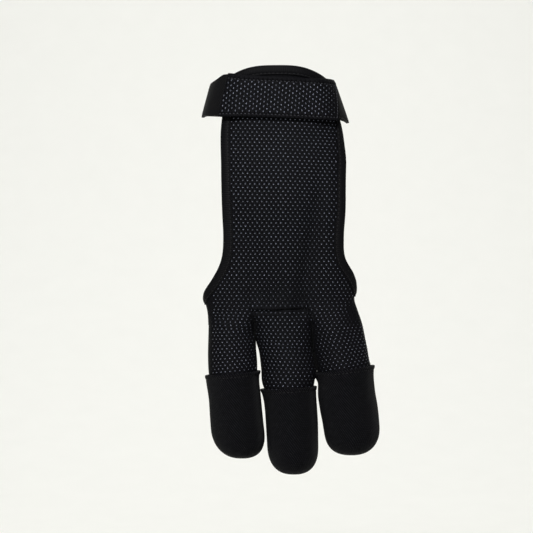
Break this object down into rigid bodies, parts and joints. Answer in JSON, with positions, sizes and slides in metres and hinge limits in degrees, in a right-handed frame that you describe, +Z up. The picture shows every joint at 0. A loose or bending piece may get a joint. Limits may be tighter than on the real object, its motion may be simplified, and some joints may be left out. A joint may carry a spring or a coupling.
{
  "type": "three-finger archery glove",
  "caption": "Archery glove: dotted palm panel and finger fronts, taped open edge, hollow fingertip caps, plain finger backs, elastic wrist strap with a fastening tab.",
  "frame": {"origin": "centre of the wrist strap's loop, where a wrist sits", "axes": "+Z up the forearm, away from the fingertips; +Y from the palm side to the back of the hand; +X across the palm towards the little finger"},
  "size_m": [0.0881, 0.0564, 0.2036],
  "materials": {
    "dotted_cloth": "black knit with raised dots",
    "plain_knit": "matte black knit",
    "edge_tape": "matte black folded tape",
    "cap_twill": "matte black twill",
    "elastic": "black ribbed elastic"
  },
  "bodies": {
    "root": {"palm_panel": "dotted_cloth", "middle_front": "dotted_cloth", "finger_backs": "plain_knit", "edge_binding": "edge_tape", "wrist_strap": "elastic", "strap_tab": "dotted_cloth", "index_cap": "cap_twill", "middle_cap": "cap_twill", "ring_cap": "cap_twill"}
  },
  "joints": []
}
